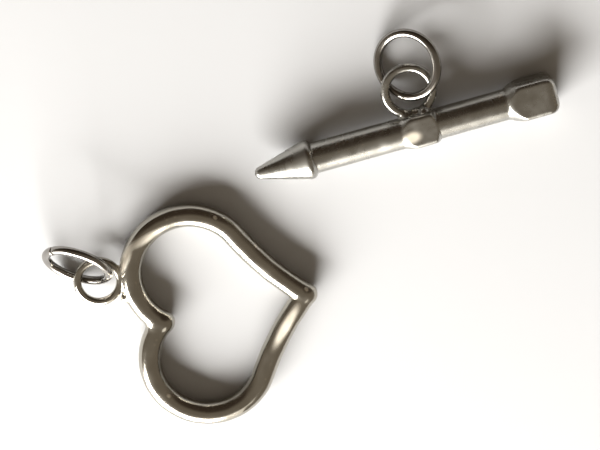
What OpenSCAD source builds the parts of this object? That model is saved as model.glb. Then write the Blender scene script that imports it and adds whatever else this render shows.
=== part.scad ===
// Heart and arrow toggle clasp, lying open on a flat surface.
// The heart ring and the arrow bar lie side by side, each with a jump ring through its eye.
// All sizes are millimetres. X runs along the clasp, Z is up, and the surface is at z = 0.

/* [Heart] */
// Diameter of the round rod that the heart is made of
heart_rod_d = 3; // [2.9:0.05:3.1]
// Radius of the rod's centreline round a lobe
lobe_r = 7.74; // [7.6:0.02:7.9]
// Radius of the rod's centreline along the hollow curve of a flank
flank_r = 40; // [36:1:44]
// Angle between the heart's axis and a flank, at the point
point_angle = 43; // [42:0.5:44]
// Angle between the heart's axis and a flank, where the lobe begins
shoulder_angle = 61; // [60:0.5:62]
// Where the heart's eye sits round the lobe, from the heart's axis
heart_eye_angle = 6; // [4:0.5:8]

/* [Arrow] */
// Length of the arrow from its point to its square end
arrow_l = 40.7; // [38:0.1:44]
// Diameter of the round shaft
shaft_d = 4.1; // [3.9:0.05:4.25]
// Length of the blunt pointed head, with the bevel behind its foot
head_l = 8; // [7.5:0.1:8.5]
// Diameter of the head's foot
head_foot_d = 5.45; // [5.2:0.05:5.7]
// Width across the flats of the tail block
block_w = 4.85; // [4.7:0.05:5.1]
// Length of the square tail block with its turned front
tail_l = 6.9; // [6.5:0.1:7.3]
// Width across the flats of the collar
collar_w = 4.25; // [4.2:0.05:4.6]
// Length of the collar with its two turned ends
collar_l = 4.9; // [4.7:0.1:5.3]
// Distance from the arrow's point to the middle of the collar
collar_at = 22.2; // [21:0.1:23]
// Slope of the turned fronts of the collar and the tail block, from the arrow's axis
front_angle = 30; // [28:1:34]
// Slope of the collar's turned back
back_angle = 55; // [50:1:60]

/* [Eyes and jump rings] */
// Wire of the heart's eye
heart_eye_wire = 1.05; // [1:0.01:1.08]
// Radius of the heart's eye, to the middle of its wire
heart_eye_r = 2.8; // [2.75:0.01:2.9]
// Wire of the bar's eye
bar_eye_wire = 1.2; // [1.1:0.02:1.22]
// Radius of the bar's eye, to the middle of its wire
bar_eye_r = 3.1; // [3.05:0.01:3.2]
// Wire of the jump rings
ring_wire = 1.15; // [1.1:0.01:1.16]
// Radius of the jump rings, to the middle of their wire
ring_r = 4.25; // [4.2:0.01:4.3]
// Width of the cut in a jump ring
cut_w = 0.12; // [0.05:0.01:0.2]

/* [Hidden] */
$fn = 64;

// Where each half lies: the heart's point and the arrow's point, and how far each is turned from X
heart_at = [0.83, -9.06];
heart_turn = 11.1;
arrow_at = [-5.86, 7.74];
arrow_turn = 15.5;

// How each jump ring lies: its middle from the middle of its eye, the way that its level
// diameter points, its lean from the surface, and where it is cut, from that diameter
heart_ring_from_eye = [-2.71, 2.81];
heart_ring_heading = -21.3;
heart_ring_lean = 52.2;
heart_ring_cut = 150;
bar_ring_from_eye = [-0.21, 3.46];
bar_ring_heading = -85.5;
bar_ring_lean = 28.8;
bar_ring_cut = 351;

// Heart, with its point at the origin and its axis along +X to the cleft.
// A flank is an arc hollow to the outside, and the lobe's arc goes on from it without a kink.
heart_rod_r = heart_rod_d / 2;
flank_centre = flank_r * [-sin(point_angle), cos(point_angle)];
lobe_centre = flank_centre + (flank_r + lobe_r) * [sin(shoulder_angle), -cos(shoulder_angle)];
cleft_angle = -asin(lobe_centre.y / lobe_r);
cleft_x = lobe_centre.x + lobe_r * cos(cleft_angle);

// The eye is soldered a little above the rod's middle, so that a jump ring lies under its wire
heart_eye_z = 1.85;
heart_eye_reach = sqrt(pow(heart_rod_r, 2) - pow(heart_eye_z - heart_rod_r, 2));
heart_eye_dir = [cos(heart_eye_angle), sin(heart_eye_angle)];
heart_eye_at = lobe_centre + (lobe_r + heart_eye_reach + heart_eye_r) * heart_eye_dir;
// The stretches of rod are joined by balls and sleeves that stand proud of it by a hair.
// Each ball is turned so that its poles lie inside the rod.
joint_r = heart_rod_r + 0.02;
sleeve_l = 0.4;
shoulder_at = flank_centre + flank_r * [sin(shoulder_angle), -cos(shoulder_angle)];
// Solder that fills the notch of the cleft, and a drop of it beside the eye
cleft_solder_r = 1.4;
cleft_solder_x = cleft_x + 1.1;
drop_r = 0.6;
drop_angle = -11;

// Arrow, with its point at the origin and its axis along +X to the square end
shaft_r = shaft_d / 2;
head_foot_r = head_foot_d / 2;
point_r = 0.85;
rim = 0.6;
edge = 0.3;
end_bevel = 0.55;
// The head's foot is thicker than the block, so the arrow dips to its tail and rests on both.
// The block itself is cast level.
tail_from_foot = arrow_l - tail_l / 2 - head_l + rim;
dip = atan(head_foot_r / tail_from_foot) - asin(block_w / 2 / norm([tail_from_foot, head_foot_r]));
point_z = (head_l - rim) * sin(dip) + head_foot_r * cos(dip);
// The shaft runs into the head and the tail block this far
shaft_sink = 1;
// The middle of the eye's wire lies this far outside the collar's side
bar_eye_stand = 0.06;
bar_eye_y = collar_w / 2 + bar_eye_r + bar_eye_stand;

// Places of the two eyes on the surface, after each half is turned and set down
function turned(p, angle) = [p.x * cos(angle) - p.y * sin(angle), p.x * sin(angle) + p.y * cos(angle)];
heart_eye_place = heart_at + turned([-heart_eye_at.x, heart_eye_at.y], heart_turn);
bar_eye_place = arrow_at + turned([collar_at * cos(dip), bar_eye_y], arrow_turn);

// Part of a round ring of wire, level at the height of the origin
module bent_rod(radius, rod_d, from, to) {
    rotate(from)
        rotate_extrude(angle = to - from)
            translate([radius, 0])
                circle(d = rod_d);
}

// Whole round ring of wire
module wire_eye(radius, wire_d) {
    rotate_extrude()
        translate([radius, 0])
            circle(d = wire_d);
}

// One flank and its lobe, from the point to the cleft
module heart_half() {
    translate(flank_centre)
        bent_rod(flank_r, heart_rod_d, point_angle - 90, shoulder_angle - 90);
    translate(shoulder_at)
        rotate([0, 90, shoulder_angle])
            cylinder(h = sleeve_l, r = joint_r, center = true);
    translate(lobe_centre)
        bent_rod(lobe_r, heart_rod_d, cleft_angle, shoulder_angle + 90);
}

module heart_ring() {
    color("#4b4643")
        translate([heart_at.x, heart_at.y, joint_r])
            rotate(heart_turn)
                mirror([1, 0, 0]) {
                    heart_half();
                    mirror([0, 1, 0])
                        heart_half();
                    rotate([90, 0, 0])
                        sphere(r = joint_r);
                    translate([cleft_x, 0, 0])
                        rotate([90, 0, 0])
                            sphere(r = joint_r);
                    translate([cleft_solder_x, 0, 0])
                        rotate([90, 0, 180])
                            sphere(r = cleft_solder_r);
                    translate([heart_eye_at.x, heart_eye_at.y, heart_eye_z - heart_rod_r])
                        wire_eye(heart_eye_r, heart_eye_wire);
                    translate(lobe_centre)
                        rotate(drop_angle)
                            translate([lobe_r + heart_rod_r, 0, heart_eye_z - heart_rod_r])
                                rotate([90, 0, 180])
                                    sphere(r = drop_r);
                }
}

// A cut ring of wire that lies on the surface and leans on its eye
module jump_ring(middle, heading, lean, cut_at) {
    cut_angle = cut_w / ring_r * 180 / PI;
    translate([middle.x, middle.y, ring_wire / 2 + ring_r * sin(lean)])
        rotate([lean, 0, heading])
            bent_rod(ring_r, ring_wire, cut_at + cut_angle / 2, cut_at + 360 - cut_angle / 2);
}

module heart_jump_ring() {
    color("#5b5650")
        jump_ring(heart_eye_place + heart_ring_from_eye, heart_ring_heading, heart_ring_lean, heart_ring_cut);
}

module bar_jump_ring() {
    color("#5b5650")
        jump_ring(bar_eye_place + bar_ring_from_eye, bar_ring_heading, bar_ring_lean, bar_ring_cut);
}

// Blunt cone with a bevelled foot, turned on the end of the shaft. The ball of its point stands
// proud of the cone by a hair.
module arrow_head() {
    cone_l = head_l - rim - point_r;
    slope = atan(head_foot_r / cone_l) - asin(point_r / norm([cone_l, head_foot_r]));
    rotate([90, 0, 90])
        rotate_extrude()
            polygon([
                [0, point_r],
                [point_r * cos(slope) - 0.02, point_r - point_r * sin(slope)],
                [head_foot_r, head_l - rim],
                [head_foot_r - rim, head_l],
                [0, head_l],
            ]);
    translate([point_r, 0, 0])
        sphere(r = point_r);
}

// Square block along X with its middle at the origin, turned down to the shaft at its front
// and, where a back slope is given, at its back
module turned_block(length, width, back_slope = 0) {
    corner = width / sqrt(2);
    front_r = shaft_r - 0.1;
    front_l = (corner - front_r) / tan(front_angle);
    back_l = back_slope > 0 ? (corner - shaft_r) / tan(back_slope) : 0;
    back_r = back_slope > 0 ? shaft_r : corner;
    intersection() {
        rotate([90, 0, 90])
            linear_extrude(length, center = true)
                polygon([
                    for (turn = [0:90:270])
                        for (side = [-1, 1])
                            turned([width / 2, side * (width / 2 - edge)], turn)
                ]);
        rotate([90, 0, 90])
            rotate_extrude()
                polygon([
                    [0, -length / 2],
                    [front_r, -length / 2],
                    [corner, -length / 2 + front_l],
                    if (back_slope > 0) [corner, length / 2 - back_l],
                    [back_r, length / 2],
                    [0, length / 2],
                ]);
    }
}

// Room inside the bevels round the square end of a block
module bevelled_end(length, width, bevel) {
    outline = [
        [-length, -width],
        [length / 2 - bevel - width / 2, -width],
        [length / 2 + bevel, 2 * bevel - width / 2],
        [length / 2 + bevel, width / 2 - 2 * bevel],
        [length / 2 - bevel - width / 2, width],
        [-length, width],
    ];
    intersection() {
        linear_extrude(2 * width, center = true)
            polygon(outline);
        rotate([90, 0, 0])
            linear_extrude(2 * width, center = true)
                polygon(outline);
    }
}

module arrow_bar() {
    color("#544e49")
        translate([arrow_at.x, arrow_at.y, point_z])
            rotate([0, dip, arrow_turn]) {
                arrow_head();
                translate([head_l - shaft_sink, 0, 0])
                    rotate([0, 90, 0])
                        cylinder(h = arrow_l - head_l - tail_l + 2 * shaft_sink, r = shaft_r);
                translate([collar_at, 0, 0])
                    turned_block(collar_l, collar_w, back_angle);
                translate([arrow_l - tail_l / 2, 0, 0])
                    rotate([0, -dip, 0])
                        intersection() {
                            turned_block(tail_l, block_w);
                            bevelled_end(tail_l, block_w, end_bevel);
                        }
                translate([collar_at, bar_eye_y, 0])
                    wire_eye(bar_eye_r, bar_eye_wire);
            }
}

heart_ring();
heart_jump_ring();
arrow_bar();
bar_jump_ring();
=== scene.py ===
# %% [markdown]
# # A heart and arrow clasp in dark gunmetal plate
#
# The clasp is two castings, each with a soldered wire eye and a cut jump ring. The source model gives every
# size and place. This lesson loads it as a fixed frame, then makes each piece again with the soft corners,
# solder and slightly uneven skin of a cast and polished finding. All sizes below are in millimetres, as on
# the bench, and turn to metres where a mesh is made.

import bpy
import numpy as np
from mathutils import Matrix, Vector


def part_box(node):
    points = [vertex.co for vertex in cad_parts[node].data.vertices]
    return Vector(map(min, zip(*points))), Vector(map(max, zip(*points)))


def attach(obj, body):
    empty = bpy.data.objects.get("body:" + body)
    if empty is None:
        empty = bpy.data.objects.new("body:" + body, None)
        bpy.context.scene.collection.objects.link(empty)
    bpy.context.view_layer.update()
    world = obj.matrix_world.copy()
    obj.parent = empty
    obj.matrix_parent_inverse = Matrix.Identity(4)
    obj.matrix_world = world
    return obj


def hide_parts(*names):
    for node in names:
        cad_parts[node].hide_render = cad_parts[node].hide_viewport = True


MM = 0.001
SURFACE_Z = 0.0
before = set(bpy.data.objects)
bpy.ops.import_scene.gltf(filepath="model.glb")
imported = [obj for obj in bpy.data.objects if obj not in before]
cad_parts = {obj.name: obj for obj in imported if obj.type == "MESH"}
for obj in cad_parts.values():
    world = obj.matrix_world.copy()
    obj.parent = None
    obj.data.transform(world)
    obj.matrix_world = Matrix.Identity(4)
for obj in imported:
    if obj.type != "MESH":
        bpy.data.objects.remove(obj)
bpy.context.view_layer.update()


print("nodes", sorted(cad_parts))

# %% [markdown]
# ## Camera
#
# The clasp is looked down on from a little beyond its upper side, leaning 16 degrees, as somebody would hold
# a phone over a table. A long lens at 42 cm keeps near and far parts nearly the same size. The lean is given
# as a direction, because then the picture's upper edge can be set too, which a pair of angles can't do.

# %% Place the camera
TO_CAMERA = Vector((-0.03, 0.28, 0.96)).normalized()
CAMERA_FAR = 420
VIEW_WIDE = 79.2
LOOK_AT = Vector((0.1, 0.0, 0.0))
SENSOR = 36
SEEN_FROM = 10
SEEN_TO = 10000


def place_camera():
    """Adds the camera with the picture's upper edge towards +Y."""
    data = bpy.data.cameras.new("camera")
    data.sensor_width = SENSOR
    data.lens = SENSOR * CAMERA_FAR / VIEW_WIDE
    data.clip_start = SEEN_FROM * MM
    data.clip_end = SEEN_TO * MM
    made = bpy.data.objects.new("camera", data)
    bpy.context.scene.collection.objects.link(made)
    up = (Vector((0, 1, 0)) - TO_CAMERA * TO_CAMERA.y).normalized()
    turn = Matrix((up.cross(TO_CAMERA), up, TO_CAMERA)).transposed().to_4x4()
    made.matrix_world = Matrix.Translation((LOOK_AT + TO_CAMERA * CAMERA_FAR) * MM) @ turn
    bpy.context.scene.camera = made
    return made


camera = place_camera()
print("lens of %.0f mm" % camera.data.lens)

# %% [markdown]
# ## Colours and nodes
#
# Colours are picked as the sRGB hex values that a screen shows. Shaders count light in linear numbers, so one
# function turns the one into the other. One more function adds a node, sets it and wires it, which keeps each
# material below to a few readable lines. The Standard view then shows each tone as it was picked.

# %% Helpers for colours and nodes
def linear(hex_colour):
    """Turns an sRGB hex colour into linear values, by the curve that the sRGB standard gives."""
    parts = [int(hex_colour[i:i + 2], 16) / 255 for i in (1, 3, 5)]
    return [c / 12.92 if c <= 0.04045 else ((c + 0.055) / 1.055) ** 2.4 for c in parts] + [1.0]


def add(tree, kind, settings=None, values=None, links=None):
    """Adds a node: settings are its own options, values go in its sockets, links come from other nodes."""
    node = tree.nodes.new(kind)
    for key, value in (settings or {}).items():
        setattr(node, key, value)
    for socket, value in (values or {}).items():
        node.inputs[socket].default_value = value
    for socket, source in (links or {}).items():
        tree.links.new(source, node.inputs[socket])
    return node


bpy.context.scene.view_settings.view_transform = "Standard"
print("a middle grey on the screen is %.2f of the light" % linear("#808080")[0])

# %% [markdown]
# ## Floor
#
# The clasp lies on a pale matt board. One big square does for that. A faint grain keeps its shade from being
# dead even, and it is a bump, since it is far too shallow to show as shape.

# %% Make the floor
FLOOR_SIZE = 1200
FLOOR_TONE = "#bcbcbd"
FLOOR_ROUGH = 0.85
GRAIN_SIZE = 2.5
GRAIN_DEPTH = 0.05
GRAIN_STRENGTH = 0.15


def matt_board():
    """Makes the board's paint: matt, pale and slightly grained."""
    paint = bpy.data.materials.new("pale_matt_board")
    paint.use_nodes = True
    tree = paint.node_tree
    shader = tree.nodes["Principled BSDF"]
    shader.inputs["Base Color"].default_value = linear(FLOOR_TONE)
    shader.inputs["Roughness"].default_value = FLOOR_ROUGH
    place = add(tree, "ShaderNodeTexCoord")
    grain = add(tree, "ShaderNodeTexNoise", values={"Scale": 1 / (GRAIN_SIZE * MM), "Detail": 4},
                links={"Vector": place.outputs["Object"]})
    bump = add(tree, "ShaderNodeBump", values={"Strength": GRAIN_STRENGTH, "Distance": GRAIN_DEPTH * MM},
               links={"Height": grain.outputs[0]})
    tree.links.new(bump.outputs[0], shader.inputs["Normal"])
    return paint


def make_floor():
    """Adds the board under the clasp."""
    half = FLOOR_SIZE * MM / 2
    mesh = bpy.data.meshes.new("floor")
    corners = [(-half, -half), (half, -half), (half, half), (-half, half)]
    mesh.from_pydata([(x, y, SURFACE_Z) for x, y in corners], [], [(0, 1, 2, 3)])
    mesh.materials.append(matt_board())
    board = bpy.data.objects.new("floor", mesh)
    bpy.context.scene.collection.objects.link(board)
    return board


floor = make_floor()
print(floor.name, "of", FLOOR_SIZE, "mm")

# %% [markdown]
# ## Window and wall
#
# Polished metal has hardly any colour of its own: it shows the room. A broad soft window stands low on the
# near side, to the left, and gives the white bands on the rod and the long soft shadows. The pale wall beside
# it gives the softer band along the bar. Both are area lights, because the metal then mirrors them as plain
# bright oblongs. The wall is kept off matt things, since its light on the floor would fill the shadows.

# %% Place the window and the wall
PANEL_FAR = 600
WINDOW_WIDE = 680
WINDOW_TALL = 350
WINDOW_TURN = 27
WINDOW_RISE = 19
WINDOW_POWER = 24.0
WINDOW_TONE = "#fffefb"
WALL_WIDE = 320
WALL_TALL = 520
WALL_TURN = -7
WALL_RISE = 24
WALL_POWER = 0.7
WALL_TONE = "#fffbf2"


def direction(turn_from_near, rise):
    """The way to a light: turned leftwards from the near side (-Y), and raised from the floor, in degrees."""
    turn, rise = np.radians(turn_from_near), np.radians(rise)
    return Vector((-np.sin(turn) * np.cos(rise), -np.cos(turn) * np.cos(rise), np.sin(rise)))


def add_panel(name, way, wide, tall, power, tone):
    """Adds a soft rectangular light that faces the clasp from the way given."""
    data = bpy.data.lights.new(name, "AREA")
    data.shape = "RECTANGLE"
    data.size, data.size_y = wide * MM, tall * MM
    data.energy = power
    data.color = linear(tone)[:3]
    light = bpy.data.objects.new(name, data)
    light.location = way * PANEL_FAR * MM
    light.rotation_euler = way.to_track_quat("Z", "Y").to_euler()
    bpy.context.scene.collection.objects.link(light)
    return light


window_way = direction(WINDOW_TURN, WINDOW_RISE)
window = add_panel("window", window_way, WINDOW_WIDE, WINDOW_TALL, WINDOW_POWER, WINDOW_TONE)
wall_way = direction(WALL_TURN, WALL_RISE)
wall = add_panel("wall", wall_way, WALL_WIDE, WALL_TALL, WALL_POWER, WALL_TONE)
wall.visible_diffuse = False
print(window.name, "of %d by %d mm" % (WINDOW_WIDE, WINDOW_TALL))
print(wall.name, "of %d by %d mm" % (WALL_WIDE, WALL_TALL))

# %% [markdown]
# ## The rest of the room
#
# Overhead the room is a dim warm grey. Beyond the clasp it is dark brown, which gives the deep outer band
# of every round part. Walls could be built, but they would show edges in the metal. A background whose tone
# follows the direction has none: how far a direction points to the far side picks its place on a ramp.

# %% Make the room
FAR_SIDE = (-0.08, 0.97, 0.0)
ROOM_TONES = [
    (0.00, "#8b8173"),
    (0.58, "#897f71"),
    (0.65, "#736a5d"),
    (0.70, "#62574b"),
    (0.75, "#4d4237"),
    (1.00, "#453b31"),
]


def set_ramp(node, stops):
    """Sets a colour ramp's stops from pairs of a place and a tone."""
    ramp = node.color_ramp
    while len(ramp.elements) < len(stops):
        ramp.elements.new(1.0)
    for element, (place, tone) in zip(ramp.elements, stops):
        element.position = place
        element.color = linear(tone)


def make_room():
    """Makes the room's background, from its dim near side over the top to its dark far side."""
    world = bpy.data.worlds.new("room")
    world.use_nodes = True
    bpy.context.scene.world = world
    tree = world.node_tree
    way = add(tree, "ShaderNodeTexCoord")
    toward = add(tree, "ShaderNodeVectorMath", {"operation": "DOT_PRODUCT"}, {1: FAR_SIDE},
                 {0: way.outputs["Generated"]})
    share = add(tree, "ShaderNodeMapRange", values={"From Min": -1.0, "From Max": 1.0},
                links={"Value": toward.outputs["Value"]})
    tint = add(tree, "ShaderNodeValToRGB", links={"Fac": share.outputs[0]})
    set_ramp(tint, ROOM_TONES)
    back = tree.nodes["Background"]
    back.inputs["Strength"].default_value = 1.0
    tree.links.new(tint.outputs[0], back.inputs["Color"])
    return world


room = make_room()
print(room.name, "with", len(ROOM_TONES), "tones")

# %% [markdown]
# ## Gunmetal plate
#
# Gunmetal on findings is black nickel, plated a few microns thick over a polished casting or wire. It mirrors
# three to four tenths of the light, with a faint warm brown. What the eye reads as real is not the colour but
# the small faults: haze from handling, fine polishing lines, little pits in the casting, and paler metal
# where corners have worn. Each of those is a pattern with a size in millimetres. Real polishing lines are far
# finer than the 0.09 mm here, but then nothing of them would show.

# %% Tones and sizes of the plating
CAST_TONES = ("#a8a59c", "#b0aa9f")
TURNED_TONES = ("#a6a5a0", "#aeaba4")
WIRE_TONES = ("#918e8a", "#9b9690")
WORN_TONE = "#c6bfb2"
CAST_ROUGH = 0.17
TURNED_ROUGH = 0.25
WIRE_ROUGH = 0.14
CAST_WEAR = 0.5
TURNED_WEAR = 0.6
WIRE_WEAR = 0.4
FLAT_CORNER = 0.52
SHARP_CORNER = 0.62
HAZE_SIZE = 3.2
HAZE_LOW = 0.3
HAZE_HIGH = 0.75
CLEAREST = 0.75
HAZIEST = 1.5
LINE_SIZE = 0.09
LINE_DEPTH = 0.006
LINE_STRENGTH = 0.10
PIT_GAP = 1.4
PIT_REACH = 0.16
PIT_DEPTH = 0.02
PIT_STRENGTH = 0.2
print("haze of %.1f mm, pits %.1f mm apart, lines of %.2f mm" % (HAZE_SIZE, PIT_GAP, LINE_SIZE))

# %% [markdown]
# ## Colour, gloss and relief of the plate
#
# Three small node chains make the plate. One noise drives both the tone and the gloss, because on real plate
# a hazy spot is paler and duller at once. The lines and the pits go into the normal alone, since they are
# two hundredths of a millimetre deep at most. Blender's pointiness finds the worn corners.

# %% Parts of the plating
def plate_colour(tree, haze, tones, wear):
    """Two near tones mixed by the haze, and a paler one where corners have worn."""
    tone = add(tree, "ShaderNodeMix", {"data_type": "RGBA"}, {"A": linear(tones[0]), "B": linear(tones[1])},
               {"Factor": haze})
    corner = add(tree, "ShaderNodeNewGeometry")
    worn = add(tree, "ShaderNodeMapRange",
               values={"From Min": FLAT_CORNER, "From Max": SHARP_CORNER, "To Min": 0.0, "To Max": wear},
               links={"Value": corner.outputs["Pointiness"]})
    mixed = add(tree, "ShaderNodeMix", {"data_type": "RGBA"}, {"B": linear(WORN_TONE)},
                {"Factor": worn.outputs[0], "A": tone.outputs["Result"]})
    return mixed.outputs["Result"]


def plate_roughness(tree, haze, roughness):
    """A roughness that goes up and down with the haze."""
    low, high = roughness * CLEAREST, roughness * HAZIEST
    dull = add(tree, "ShaderNodeMapRange",
               values={"From Min": HAZE_LOW, "From Max": HAZE_HIGH, "To Min": low, "To Max": high},
               links={"Value": haze})
    return dull.outputs[0]


def plate_relief(tree, place, line_stretch, line_turn):
    """Polishing lines, stretched and turned as asked for, and little pits among them."""
    lines_place = add(tree, "ShaderNodeMapping", {"vector_type": "TEXTURE"},
                      {"Rotation": (0, 0, np.radians(line_turn)), "Scale": (line_stretch, 1, 1)},
                      {"Vector": place})
    lines = add(tree, "ShaderNodeTexNoise",
                values={"Scale": 1 / (LINE_SIZE * MM), "Detail": 3, "Roughness": 0.65},
                links={"Vector": lines_place.outputs[0]})
    scratch = add(tree, "ShaderNodeBump", values={"Strength": LINE_STRENGTH, "Distance": LINE_DEPTH * MM},
                  links={"Height": lines.outputs[0]})
    pits = add(tree, "ShaderNodeTexVoronoi", values={"Scale": 1 / (PIT_GAP * MM)}, links={"Vector": place})
    pit_slope = add(tree, "ShaderNodeMapRange",
                    values={"From Min": 0.0, "From Max": PIT_REACH, "To Min": 0.0, "To Max": 1.0},
                    links={"Value": pits.outputs["Distance"]})
    bump = add(tree, "ShaderNodeBump", values={"Strength": PIT_STRENGTH, "Distance": PIT_DEPTH * MM},
               links={"Height": pit_slope.outputs[0], "Normal": scratch.outputs[0]})
    return bump.outputs[0]


# %% [markdown]
# ## Painted highlights
#
# Some highlights are painted into the plate. In a few soft ovals the plate is made paler and duller, so that
# it glows softly instead of mirroring, and a few small ovals are painted glints. The distance from an oval's
# middle, measured in its own half sizes, makes the mask. An image mask would have to be painted, while this
# stays smooth at any size and follows the metal from every side. An oval has its middle and half sizes in
# millimetres, its turn in degrees, and how far it goes to the pale, dull tone of a painted highlight.

# %% Soft ovals of painted highlight
# The pale tone and the roughness that the painted highlights and painted glints go to.
PAINTED_HIGHLIGHT_TONE = "#f4ebda"
PAINTED_HIGHLIGHT_ROUGH = 0.52
OVAL_FULL = 0.4
OVAL_GONE = 1.2
ARROW_TURN = 15.5
# Painted highlights: a long one down the heart's lower flank, two on its upper lobe, one on the collar's
# front.
LOWER_FLANK_HIGHLIGHT = {"middle": (-1.85, -13.1, 3.0), "turn": 62.0, "half": (4.0, 0.85, 1.6), "strength": 0.9}
LOBE_TOP_HIGHLIGHT = {"middle": (-20.1, -0.8, 2.9), "turn": 31.0, "half": (3.3, 0.75, 1.6), "strength": 0.62}
LOBE_LEFT_HIGHLIGHT = {"middle": (-23.0, -3.9, 2.6), "turn": 67.0, "half": (2.6, 0.7, 1.6), "strength": 0.75}
COLLAR_FRONT_HIGHLIGHT = {"middle": (14.55, 13.0, 4.6), "turn": ARROW_TURN, "half": (1.4, 0.95, 1.6), "strength": 1.0}
# Painted glints: tiny ovals at four places along the heart's rod.
PAINTED_GLINT = {"turn": -40.0, "half": (0.38, 0.28, 0.6), "strength": 0.9}
PAINTED_GLINT_PLACES = [(-11.1, 1.95, 2.9), (-5.75, -2.05, 2.7), (0.85, -8.05, 2.7), (-17.45, -22.7, 2.6)]
PAINTED_HIGHLIGHTS_HEART = [LOWER_FLANK_HIGHLIGHT, LOBE_TOP_HIGHLIGHT, LOBE_LEFT_HIGHLIGHT] + [dict(PAINTED_GLINT, middle=place) for place in PAINTED_GLINT_PLACES]


def highlight_oval_mask(tree, place, middle, turn, half, strength):
    """The mask of a painted highlight: strongest in an oval's middle, fading a little past its half sizes."""
    near = add(tree, "ShaderNodeMapping", {"vector_type": "TEXTURE"},
               {"Location": [v * MM for v in middle], "Rotation": (0, 0, np.radians(turn)),
                "Scale": [v * MM for v in half]},
               {"Vector": place})
    away = add(tree, "ShaderNodeVectorMath", {"operation": "LENGTH"}, links={0: near.outputs[0]})
    mask = add(tree, "ShaderNodeMapRange", {"interpolation_type": "SMOOTHSTEP"},
               {"From Min": OVAL_FULL, "From Max": OVAL_GONE, "To Min": strength, "To Max": 0.0},
               {"Value": away.outputs["Value"]})
    return mask.outputs[0]


# Counts the painted highlights and painted glints on the heart.
print(len(PAINTED_HIGHLIGHTS_HEART), "rubbed ovals on the heart, the longest", 2 * LOWER_FLANK_HIGHLIGHT["half"][0], "mm long")

# %% [markdown]
# ## Three platings
#
# One recipe serves the whole clasp, with its own numbers for each way the metal was made. The cast heart was
# tumbled smooth, so its lines run no one way. The bar was turned and polished lengthwise, which leaves it a
# little duller, with lines along it. Drawn wire is the smoothest and the darkest.

# %% Make the platings
def gunmetal(name, tones, roughness, wear, line_stretch=1.0, line_turn=0.0, painted_highlight=()):
    """Makes black nickel plate with haze, polishing lines, pits, worn corners and painted highlights."""
    plate = bpy.data.materials.new(name)
    plate.use_nodes = True
    tree = plate.node_tree
    shader = tree.nodes["Principled BSDF"]
    shader.inputs["Metallic"].default_value = 1.0
    place = add(tree, "ShaderNodeTexCoord").outputs["Object"]
    haze = add(tree, "ShaderNodeTexNoise",
               values={"Scale": 1 / (HAZE_SIZE * MM), "Detail": 5, "Roughness": 0.6},
               links={"Vector": place}).outputs[0]
    colour = plate_colour(tree, haze, tones, wear)
    dull = plate_roughness(tree, haze, roughness)
    # Each oval paints a highlight: inside it the plate turns paler and duller.
    for oval in painted_highlight:
        mask = highlight_oval_mask(tree, place, **oval)
        paler = add(tree, "ShaderNodeMix", {"data_type": "RGBA"}, {"B": linear(PAINTED_HIGHLIGHT_TONE)},
                    {"Factor": mask, "A": colour})
        duller = add(tree, "ShaderNodeMix", {"data_type": "FLOAT"}, {"B": PAINTED_HIGHLIGHT_ROUGH},
                     {"Factor": mask, "A": dull})
        colour, dull = paler.outputs["Result"], duller.outputs["Result"]
    tree.links.new(colour, shader.inputs["Base Color"])
    tree.links.new(dull, shader.inputs["Roughness"])
    tree.links.new(plate_relief(tree, place, line_stretch, line_turn), shader.inputs["Normal"])
    return plate


BAR_LINE_STRETCH = 12.0
# The cast heart and the turned bar carry the painted highlights listed above.
cast_plate = gunmetal("black_nickel_on_cast_zinc", CAST_TONES, CAST_ROUGH, CAST_WEAR, painted_highlight=PAINTED_HIGHLIGHTS_HEART)
turned_plate = gunmetal("black_nickel_on_turned_zinc", TURNED_TONES, TURNED_ROUGH, TURNED_WEAR,
                        BAR_LINE_STRETCH, ARROW_TURN, [COLLAR_FRONT_HIGHLIGHT])
wire_plate = gunmetal("black_nickel_on_steel_wire", WIRE_TONES, WIRE_ROUGH, WIRE_WEAR)
print("materials", [plate.name for plate in (cast_plate, turned_plate, wire_plate)])

# %% [markdown]
# ## A skin over a depth
#
# The castings have soft corners, and solder that flows from one part into the next. Such a form is easy
# to say as a depth: a function that gives each point's distance under or over the metal's surface. Parts
# join with a smooth minimum, which makes the fillet, and flats meet with a smooth maximum, which rounds the
# edge. Booleans and bevels would do for straight parts, but they break where a round wire runs into a round
# rod.

# %% Depths that join softly
def soft_join(a, b, blend):
    """The lower of two depths, with a fillet about as wide as blend."""
    share = np.clip(0.5 + 0.5 * (b - a) / blend, 0, 1)
    return b + (a - b) * share - blend * share * (1 - share)


def soft_cut(a, b, blend):
    """The higher of two depths, with an edge rounded about as wide as blend."""
    return -soft_join(-a, -b, blend)


def off_arc(x, y, centre, radius, start, end):
    """Distance in the plane from an arc's line, whose ends are angles in degrees."""
    middle, half = np.radians((start + end) / 2), np.radians((end - start) / 2)
    dx, dy = x - centre[0], y - centre[1]
    angle = (np.arctan2(dy, dx) - middle + np.pi) % (2 * np.pi) - np.pi
    angle = np.clip(angle, -half, half) + middle
    return np.hypot(dx - radius * np.cos(angle), dy - radius * np.sin(angle))


def off_wire_eye(x, y, z, centre, radius, wire):
    """Depth of a level ring of round wire."""
    return np.hypot(np.hypot(x - centre[0], y - centre[1]) - radius, z - centre[2]) - wire / 2


def off_ball(x, y, z, centre, radius):
    """Depth of a ball, such as a drop of solder."""
    return np.sqrt((x - centre[0]) ** 2 + (y - centre[1]) ** 2 + (z - centre[2]) ** 2) - radius


print("a fillet of 0.4 mm lifts an inner corner by %.2f mm" % -soft_join(0.0, 0.0, 0.4))

# %% [markdown]
# ## From a depth to a mesh
#
# A grid of points finds where the depth changes sign. A small square is laid across each grid edge that
# crosses the surface, and the squares' corners then slide until they lie exactly on it. Remeshing a solid
# could do this too, but it would lose the exact round section that the long reflections need.

# %% Points that slide onto the surface
SLOPE_REACH = 0.01
LEAST_SLOPE = 0.05
EVEN_SHARE = 0.6


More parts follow.
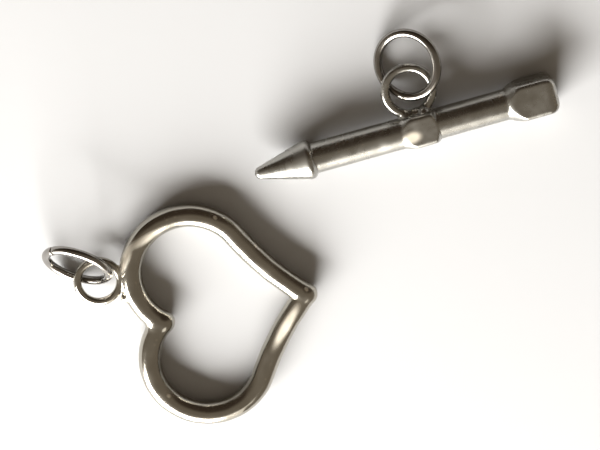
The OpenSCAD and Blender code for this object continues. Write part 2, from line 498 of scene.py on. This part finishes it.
def slope_of(depth, points):
    """How the depth changes along X, Y and Z at each point."""
    steps = np.eye(3) * SLOPE_REACH
    return np.stack([(depth(points + s) - depth(points - s)) / (2 * SLOPE_REACH) for s in steps], 1)


def settle(depth, points, rounds):
    """Slides the points along the slope until they lie on the surface."""
    for _ in range(rounds):
        slope = slope_of(depth, points)
        length2 = np.maximum((slope ** 2).sum(1, keepdims=True), LEAST_SLOPE)
        points = points - depth(points)[:, None] * slope / length2
    return points


def even_out(depth, points, quads, rounds):
    """Spreads the points evenly over the surface, without leaving it."""
    one = quads.ravel()
    two = np.roll(quads, -1, axis=1).ravel()
    count = np.bincount(one, minlength=len(points)) + np.bincount(two, minlength=len(points))
    for _ in range(rounds):
        total = np.zeros_like(points)
        for k in range(3):
            total[:, k] = np.bincount(one, points[two, k], len(points))
            total[:, k] += np.bincount(two, points[one, k], len(points))
        move = total / count[:, None] - points
        normal = slope_of(depth, points)
        normal /= np.linalg.norm(normal, axis=1, keepdims=True)
        points = points + EVEN_SHARE * (move - (move * normal).sum(1, keepdims=True) * normal)
        points = settle(depth, points, 1)
    return points


ball_point = settle(lambda p: np.linalg.norm(p, axis=1) - 1, np.array([[0.9, 0.5, 0.0]]), 4)
print("a point slid onto a ball of 1 mm radius lies %.4f mm from its middle" % np.linalg.norm(ball_point))


# %% Squares across the surface
def signs_on_grid(depth, lines):
    """Whether each point of a grid is inside the metal, worked out sheet by sheet to spare memory."""
    inside = np.empty([len(line) for line in lines], bool)
    for i, x in enumerate(lines[0]):
        y, z = np.meshgrid(lines[1], lines[2], indexing="ij")
        sheet = np.stack([np.full(y.size, x), y.ravel(), z.ravel()], 1)
        inside[i] = (depth(sheet) < 0).reshape(y.shape)
    return inside


def number_crossed(inside):
    """Numbers the grid's cells that the surface crosses, and gives the others -1."""
    nx, ny, nz = inside.shape
    corners_in = np.zeros((nx - 1, ny - 1, nz - 1), np.int8)
    for i, j, k in np.ndindex(2, 2, 2):
        corners_in += inside[i:nx - 1 + i, j:ny - 1 + j, k:nz - 1 + k]
    crossed = (corners_in > 0) & (corners_in < 8)
    number = np.full(crossed.shape, -1)
    number[crossed] = np.arange(crossed.sum())
    return number


def quads_between(inside, number):
    """A quad across each grid edge whose two ends lie on different sides of the surface."""
    found = []
    for axis in range(3):
        size = inside.shape
        here = np.take(inside, range(size[axis] - 1), axis)
        there = np.take(inside, range(1, size[axis]), axis)
        spot = np.argwhere(here != there)
        one, two = np.eye(3, dtype=int)[[(axis + 1) % 3, (axis + 2) % 3]]
        for side in ((axis + 1) % 3, (axis + 2) % 3):
            spot = spot[(spot[:, side] > 0) & (spot[:, side] < size[side] - 1)]
        ring = [spot - one - two, spot - two, spot, spot - one]
        quads = np.stack([number[tuple(cell.T)] for cell in ring], 1)
        outward = here[tuple(spot.T)]
        found.append(np.where(outward[:, None], quads, quads[:, ::-1]))
    return np.vstack(found)


small_grid = np.zeros((4, 4, 4), bool)
small_grid[1:3, 1:3, 1:3] = True
small_quads = quads_between(small_grid, number_crossed(small_grid))
print("a block of 2 by 2 by 2 points gets", len(small_quads), "squares")

# %% [markdown]
# ## From a mesh to a piece
#
# Each finished mesh is smooth-shaded, gets its plating, and rides the clasp's one body in place of its node
# in the frame. The castings also get the depth's own slopes as their normals, so that their reflections are
# as smooth as the form itself and don't show the mesh.

# %% Make a piece
MARGIN = 0.4
FIRST_ROUNDS = 4
EVEN_ROUNDS = 3
LAST_ROUNDS = 2


def link_piece(name, points, faces, normals, material, node):
    """Makes an object from points in millimetres, and lets it ride in place of its node."""
    mesh = bpy.data.meshes.new(name)
    mesh.from_pydata((points * MM).tolist(), [], faces)
    mesh.shade_smooth()
    if normals is not None:
        mesh.normals_split_custom_set_from_vertices(normals.tolist())
    mesh.materials.append(material)
    piece = bpy.data.objects.new(name, mesh)
    bpy.context.scene.collection.objects.link(piece)
    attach(piece, "root")
    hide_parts(node)
    low, high = points.min(0), points.max(0)
    print(name, len(points), "points, box in mm", low.round(2), high.round(2))
    return piece


def skin(name, depth, box, cell, material, node):
    """Makes the piece whose surface is where depth is nought, in and round a box, from cells of one size."""
    low, high = [np.array(corner) / MM for corner in box]
    low, high = low - MARGIN, high + MARGIN
    size = np.ceil((high - low) / cell).astype(int) + 1
    lines = [low[k] + cell * np.arange(size[k]) for k in range(3)]
    inside = signs_on_grid(depth, lines)
    number = number_crossed(inside)
    quads = quads_between(inside, number)
    points = low + cell * (np.argwhere(number >= 0) + 0.5)
    points = settle(depth, points, FIRST_ROUNDS)
    points = even_out(depth, points, quads, EVEN_ROUNDS)
    points = settle(depth, points, LAST_ROUNDS)
    normals = slope_of(depth, points)
    normals /= np.linalg.norm(normals, axis=1, keepdims=True)
    return link_piece(name, points, quads.tolist(), normals, material, node)


print("castings are skinned in the frame's boxes and %.1f mm round them" % MARGIN)

# %% [markdown]
# ## Casting helpers
#
# Each casting is drawn along its own X, from its point, and then turned to where it lies. The skin of a
# casting is never quite true. A slow ripple of about a hundredth of a millimetre goes over it, and that is
# what makes its reflections waver. A few crossed waves do for that, and are the same each time.

# %% Turn and ripple a casting
WAVES = [(1.7, 0.4, 0.9, 0.3), (-0.6, 1.9, 0.5, 1.7), (0.8, -1.1, 1.6, 4.1), (2.3, 1.4, -0.7, 2.6)]
HEART_RIPPLE = 0.012
ARROW_RIPPLE = 0.0072


def at_angle(degrees, length=1.0):
    """A point in the plane at that angle and distance from the origin."""
    return length * np.array([np.cos(np.radians(degrees)), np.sin(np.radians(degrees))])


def turned_to(points, place, turn, height):
    """Points of the clasp as a casting's own X, Y and Z, with its point at the origin."""
    dx, dy = points[:, 0] - place[0], points[:, 1] - place[1]
    along, across = at_angle(turn), at_angle(turn + 90)
    return dx * along[0] + dy * along[1], dx * across[0] + dy * across[1], points[:, 2] - height


def turned_from(x, y, place, turn):
    """Where a casting's own X and Y lie in the clasp."""
    return np.array(place) + x * at_angle(turn) + y * at_angle(turn + 90)


def ripple(points, size):
    """A slow unevenness from waves that cross: each has its rates along X, Y and Z, and its start."""
    return size / 2 * sum(np.sin(points @ np.array(wave[:3]) + wave[3]) for wave in WAVES)


shortest_wave = 2 * np.pi / max(np.linalg.norm(wave[:3]) for wave in WAVES)
print("the shortest wave is %.1f mm long" % shortest_wave)

# %% [markdown]
# ## The heart ring
#
# The heart is a round rod of 3 mm, cast in one piece: two flanks that curve in a little, and two lobes. Its
# point is a mitre with a rounded nose. A wire eye is soldered beside the cleft, and the solder has run into
# the corner under it. A curve with a round bevel would draw the rod, but not the mitre, the filled cleft and
# the fillets, so the rod is a depth round its middle line. It is drawn with the lobes to the right, which
# makes the sums plain, and its X is then reversed, because its point lies to the right.

# %% Lay out the heart's middle line
HEART_AT = (0.83, -9.06)
HEART_TURN = 11.1
ROD = 3.0
RIPPLE_ROOM = 0.02
ROD_HEIGHT = ROD / 2 + RIPPLE_ROOM
LOBE_R = 7.74
FLANK_R = 40.0
POINT_ANGLE = 43.0
SHOULDER_ANGLE = 61.0

flank_centre = FLANK_R * at_angle(POINT_ANGLE + 90)
lobe_centre = flank_centre + (FLANK_R + LOBE_R) * at_angle(SHOULDER_ANGLE - 90)
cleft_angle = -np.degrees(np.arcsin(lobe_centre[1] / LOBE_R))
cleft_x = (lobe_centre + at_angle(cleft_angle, LOBE_R))[0]
print("lobe centre", lobe_centre.round(2), "and cleft %.2f mm from the point" % cleft_x)

# %% Place the heart's eye and solder
HEART_EYE_ANGLE = 6.0
HEART_EYE_WIRE = 1.05
HEART_EYE_R = 2.8
HEART_EYE_Z = 1.85
SOLDER_ANGLE = -11.0
SOLDER_R = 0.5
CLEFT_FILL_R = 1.3
CLEFT_FILL_IN = 1.1
NOSE_BLEND = 0.25
CLEFT_BLEND = 0.5
HEART_EYE_BLEND = 0.4
SOLDER_BLEND = 0.5

eye_rise = HEART_EYE_Z - ROD / 2
eye_reach = np.sqrt((ROD / 2) ** 2 - eye_rise ** 2)
heart_eye = lobe_centre + at_angle(HEART_EYE_ANGLE, LOBE_R + eye_reach + HEART_EYE_R)
heart_drop = lobe_centre + at_angle(SOLDER_ANGLE, LOBE_R + ROD / 2)
print("eye", heart_eye.round(2), "and solder", heart_drop.round(2))


# %% Make the heart ring
def heart_depth(points):
    """Depth under the skin of the heart, its eye and its solder."""
    x, y, z = turned_to(points, HEART_AT, HEART_TURN, ROD_HEIGHT)
    x = -x
    halves = []
    for side in (1, -1):
        flank = off_arc(x, side * y, flank_centre, FLANK_R, POINT_ANGLE - 90, SHOULDER_ANGLE - 90)
        lobe = off_arc(x, side * y, lobe_centre, LOBE_R, cleft_angle, SHOULDER_ANGLE + 90)
        halves.append(np.hypot(np.minimum(flank, lobe), z) - ROD / 2)
    rod = soft_join(halves[0], halves[1], NOSE_BLEND)
    rod = soft_join(rod, off_ball(x, y, z, (cleft_x + CLEFT_FILL_IN, 0, 0), CLEFT_FILL_R), CLEFT_BLEND)
    eye = off_wire_eye(x, y, z, (heart_eye[0], heart_eye[1], eye_rise), HEART_EYE_R, HEART_EYE_WIRE)
    drop = off_ball(x, y, z, (heart_drop[0], heart_drop[1], eye_rise), SOLDER_R)
    depth = soft_join(soft_join(rod, eye, HEART_EYE_BLEND), drop, SOLDER_BLEND)
    return np.maximum(depth + ripple(points, HEART_RIPPLE), SURFACE_Z - points[:, 2])


HEART_CELL = 0.13
heart = skin("heart_ring_cast", heart_depth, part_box("heart_ring"), HEART_CELL, cast_plate,
             "heart_ring")

# %% [markdown]
# ## The arrow bar
#
# The bar is a round shaft with a pointed head, a square collar in the middle and a square block for a tail.
# On the real one the squares are milled and their fronts turned down to the shaft, which leaves a curved
# edge where the cone meets each flat. The same is done here: a square depth is cut by a turned depth. The
# head's foot is thicker than the tail, so the shaft dips to the tail, whose block still lies flat.

# %% Sizes of the arrow
ARROW_AT = (-5.86, 7.74)
ARROW_L = 40.7
SHAFT_R = 4.1 / 2
HEAD_L = 8.0
HEAD_FOOT_R = 5.45 / 2
FOOT_RIM = 0.6
POINT_R = 0.85
BLOCK_W = 4.85
TAIL_L = 6.9
COLLAR_W = 4.25
COLLAR_L = 4.9
COLLAR_AT = 22.2
FRONT_ANGLE = 30.0
BACK_ANGLE = 55.0
BEVEL_ANGLE = 45.0

foot_to_tail = ARROW_L - TAIL_L / 2 - HEAD_L + FOOT_RIM
dip = np.arctan(HEAD_FOOT_R / foot_to_tail) - np.arcsin(BLOCK_W / 2 / np.hypot(foot_to_tail, HEAD_FOOT_R))
point_z = (HEAD_L - FOOT_RIM) * np.sin(dip) + HEAD_FOOT_R * np.cos(dip)
print("the shaft dips by %.2f degrees, from a point %.2f mm up" % (np.degrees(dip), point_z))

# %% [markdown]
# ## Turned and square forms
#
# A turned form depends only on how far along the shaft's axis a point lies and how far off it, so a cone is
# one line of sums. A block is the square's depth cut by the cone in front of it, and by one behind it if it
# has a back slope.

# %% Depths of the head, the shaft and the blocks
FRONT_SINK = 0.1
LONG_EDGE = 0.75
CONE_EDGE = 0.2
END_EDGE = 1.5
FOOT_EDGE = 0.35
OVERLAP = 1.0
HEAD_BLEND = 0.15


def off_cone(x, r, at_x, at_r, slope):
    """Depth of a cone that has radius at_r at at_x and widens along X by the slope, in degrees."""
    return ((r - at_r) - (x - at_x) * np.tan(np.radians(slope))) * np.cos(np.radians(slope))


def block_depth(x, y, z, front, back, width, back_angle=None):
    """Depth of a square block whose front, and back if it has a slope, are turned down to the shaft."""
    r = np.hypot(y, z)
    depth = soft_cut(np.abs(y) - width / 2, np.abs(z) - width / 2, LONG_EDGE)
    depth = soft_cut(depth, off_cone(x, r, front, SHAFT_R - FRONT_SINK, FRONT_ANGLE), CONE_EDGE)
    if back_angle:
        depth = soft_cut(depth, off_cone(-x, r, -back, SHAFT_R, back_angle), CONE_EDGE)
        return np.maximum(np.maximum(depth, front - x), x - back)
    return soft_cut(np.maximum(depth, front - x), x - back, END_EDGE)


def head_and_shaft_depth(x, y, z):
    """Depth of the round parts: a cone with a rounded nose and a bevelled foot, on the shaft."""
    r = np.hypot(y, z)
    cone_l = HEAD_L - FOOT_RIM - POINT_R
    slope = np.arctan(HEAD_FOOT_R / cone_l) - np.arcsin(POINT_R / np.hypot(cone_l, HEAD_FOOT_R))
    cone = off_cone(x, r, HEAD_L - FOOT_RIM, HEAD_FOOT_R, np.degrees(slope))
    bevel = off_cone(-x, r, FOOT_RIM - HEAD_L, HEAD_FOOT_R, BEVEL_ANGLE)
    cone = soft_cut(soft_cut(cone, bevel, FOOT_EDGE), x - HEAD_L, CONE_EDGE)
    nose = off_ball(x, y, z, (POINT_R, 0, 0), POINT_R)
    head = np.where(x < POINT_R * (1 - np.sin(slope)), nose, np.maximum(cone, POINT_R / 2 - x))
    shaft = np.maximum(np.maximum(r - SHAFT_R, HEAD_L - OVERLAP - x), x - ARROW_L + OVERLAP)
    return soft_join(head, shaft, HEAD_BLEND)


tip_depth = head_and_shaft_depth(np.array([0.0]), np.array([0.0]), np.array([0.0]))
print("the point's tip lies %.3f mm off the skin" % tip_depth[0])

# %% [markdown]
# ## The bar's eye, solder and skin
#
# A wire eye lies level on the collar's far side. Three small drops of solder hold it, each given by its place
# along the collar, its rise and its radius, and each blends into wire and collar. The tail's block is turned
# back by the dip, so that its underside is level.

# %% Make the arrow bar
BAR_EYE_WIRE = 1.2
BAR_EYE_R = 3.1
BAR_EYE_OUT = 0.06
BAR_EYE_Y = COLLAR_W / 2 + BAR_EYE_R + BAR_EYE_OUT
BAR_EYE_BLEND = 0.5
DROPS_OUT = 0.05
DROPS = [(-1.1, 0.5, 0.5), (1.2, 0.7, 0.55), (0.2, -0.4, 0.5)]
COLLAR_TO_TAIL_BLEND = 0.05
BLOCK_BLEND = 0.12


def arrow_depth(points):
    """Depth under the skin of the arrow, its eye and its solder."""
    x, y, z = turned_to(points, ARROW_AT, ARROW_TURN, point_z)
    x, z = x * np.cos(dip) - z * np.sin(dip), x * np.sin(dip) + z * np.cos(dip)
    collar = block_depth(x, y, z, COLLAR_AT - COLLAR_L / 2, COLLAR_AT + COLLAR_L / 2, COLLAR_W, BACK_ANGLE)
    from_middle = x - ARROW_L + TAIL_L / 2
    level_x = from_middle * np.cos(dip) + z * np.sin(dip)
    level_z = z * np.cos(dip) - from_middle * np.sin(dip)
    tail = block_depth(level_x, y, level_z, -TAIL_L / 2, TAIL_L / 2, BLOCK_W)
    blocks = soft_join(collar, tail, COLLAR_TO_TAIL_BLEND)
    depth = soft_join(head_and_shaft_depth(x, y, z), blocks, BLOCK_BLEND)
    eye = off_wire_eye(x, y, z, (COLLAR_AT, BAR_EYE_Y, 0), BAR_EYE_R, BAR_EYE_WIRE)
    depth = soft_join(depth, eye, BAR_EYE_BLEND)
    for along, rise, radius in DROPS:
        drop = off_ball(x, y, z, (COLLAR_AT + along, COLLAR_W / 2 + DROPS_OUT, rise), radius)
        depth = soft_join(depth, drop, SOLDER_BLEND)
    return np.maximum(depth + ripple(points, ARROW_RIPPLE), SURFACE_Z - points[:, 2])


ARROW_CELL = 0.11
arrow = skin("arrow_bar_cast", arrow_depth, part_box("arrow_bar"), ARROW_CELL, turned_plate,
             "arrow_bar")

# %% [markdown]
# ## The jump rings
#
# A jump ring is steel wire wound on a rod and cut once, so each ring has two flat ends that almost meet.
# A torus has no cut, so a circle is swept round an arc instead. The ends are turned in over two short steps,
# because a saw or cutter leaves a small soft burr, and one end stands a little aside, as pliers leave it.

# %% Sweep a wire round a cut ring
RING_WIRE = 1.15
RING_R = 4.25
CUT_W = 0.12
END_ROUND = 0.07
END_SIZES = [0.02, 0.86, 0.96]
END_ASIDE = 0.05
ASIDE_OVER = 12
ROUND_COUNT = 28
SWEEP_COUNT = 150


def cut_ring(cut_at):
    """Points of a ring that lies level round the origin, cut at an angle, as rows round the wire."""
    gap = np.degrees(CUT_W / RING_R)
    inset = np.degrees(END_ROUND / RING_R)
    start, end = cut_at + gap / 2, cut_at + 360 - gap / 2
    inner = np.linspace(start + inset, end - inset, SWEEP_COUNT)
    sweep = np.concatenate([[start, start, start + inset / 3], inner, [end - inset / 3, end, end]])
    shrink = np.concatenate([END_SIZES, np.ones(SWEEP_COUNT), END_SIZES[::-1]])
    aside = END_ASIDE * np.exp(-(sweep - start) / ASIDE_OVER)
    around = np.linspace(0, 2 * np.pi, ROUND_COUNT, endpoint=False)
    wire = RING_WIRE / 2 * shrink[:, None]
    reach = RING_R + wire * np.cos(around)
    turn = np.radians(sweep)[:, None]
    rows = [reach * np.cos(turn), reach * np.sin(turn), wire * np.sin(around) + aside[:, None]]
    return np.stack(rows, -1)


def sweep_faces(row_count):
    """Quads between the rows, and a flat end on the first row and on the last."""
    faces = []
    for i in range(row_count - 1):
        here, there = i * ROUND_COUNT, (i + 1) * ROUND_COUNT
        for j in range(ROUND_COUNT):
            k = (j + 1) % ROUND_COUNT
            faces.append((here + j, there + j, there + k, here + k))
    last = (row_count - 1) * ROUND_COUNT
    faces.append(tuple(range(ROUND_COUNT)))
    faces.append(tuple(last + j for j in reversed(range(ROUND_COUNT))))
    return faces


print("a ring is %.2f mm across and has" % (2 * RING_R + RING_WIRE), len(cut_ring(0)), "rows")

# %% [markdown]
# ## Hang the rings in their eyes
#
# Each ring passes through its eye and rests its lower side on the surface. Its lean and heading come from the
# ellipse that it shows, and its middle is given from the eye's.

# %% Make the jump rings
HEART_RING_OFF = (-2.71, 2.81)
HEART_RING_HEADING = -21.3
HEART_RING_LEAN = 52.2
HEART_RING_CUT = 150
BAR_RING_OFF = (-0.21, 3.46)
BAR_RING_HEADING = -85.5
BAR_RING_LEAN = 28.8
BAR_RING_CUT = 351


def hang_ring(name, middle, heading, lean, cut_at, node):
    """Makes a jump ring that leans on the surface, with its middle above a place in the plane."""
    rows = cut_ring(cut_at)
    tilt = Matrix.Rotation(np.radians(heading), 3, "Z") @ Matrix.Rotation(np.radians(lean), 3, "X")
    height = RING_WIRE / 2 + RING_R * np.sin(np.radians(lean))
    points = rows.reshape(-1, 3) @ np.array(tilt).T + np.array([middle[0], middle[1], height])
    return link_piece(name, points, sweep_faces(len(rows)), None, wire_plate, node)


heart_eye_at = turned_from(-heart_eye[0], heart_eye[1], HEART_AT, HEART_TURN)
bar_eye_at = turned_from(COLLAR_AT * np.cos(dip), BAR_EYE_Y, ARROW_AT, ARROW_TURN)
heart_jump = hang_ring("heart_jump_ring_wire", heart_eye_at + HEART_RING_OFF, HEART_RING_HEADING,
                       HEART_RING_LEAN, HEART_RING_CUT, "heart_jump_ring")
bar_jump = hang_ring("bar_jump_ring_wire", bar_eye_at + BAR_RING_OFF, BAR_RING_HEADING,
                     BAR_RING_LEAN, BAR_RING_CUT, "bar_jump_ring")

# %% [markdown]
# ## The pieces at the end
#
# The finished pieces should fill the same box as the source model. Each piece's own box is printed as it is
# made, and here their names are listed.

# %% List the pieces
print("pieces", [piece.name for piece in (heart, arrow, heart_jump, bar_jump)])
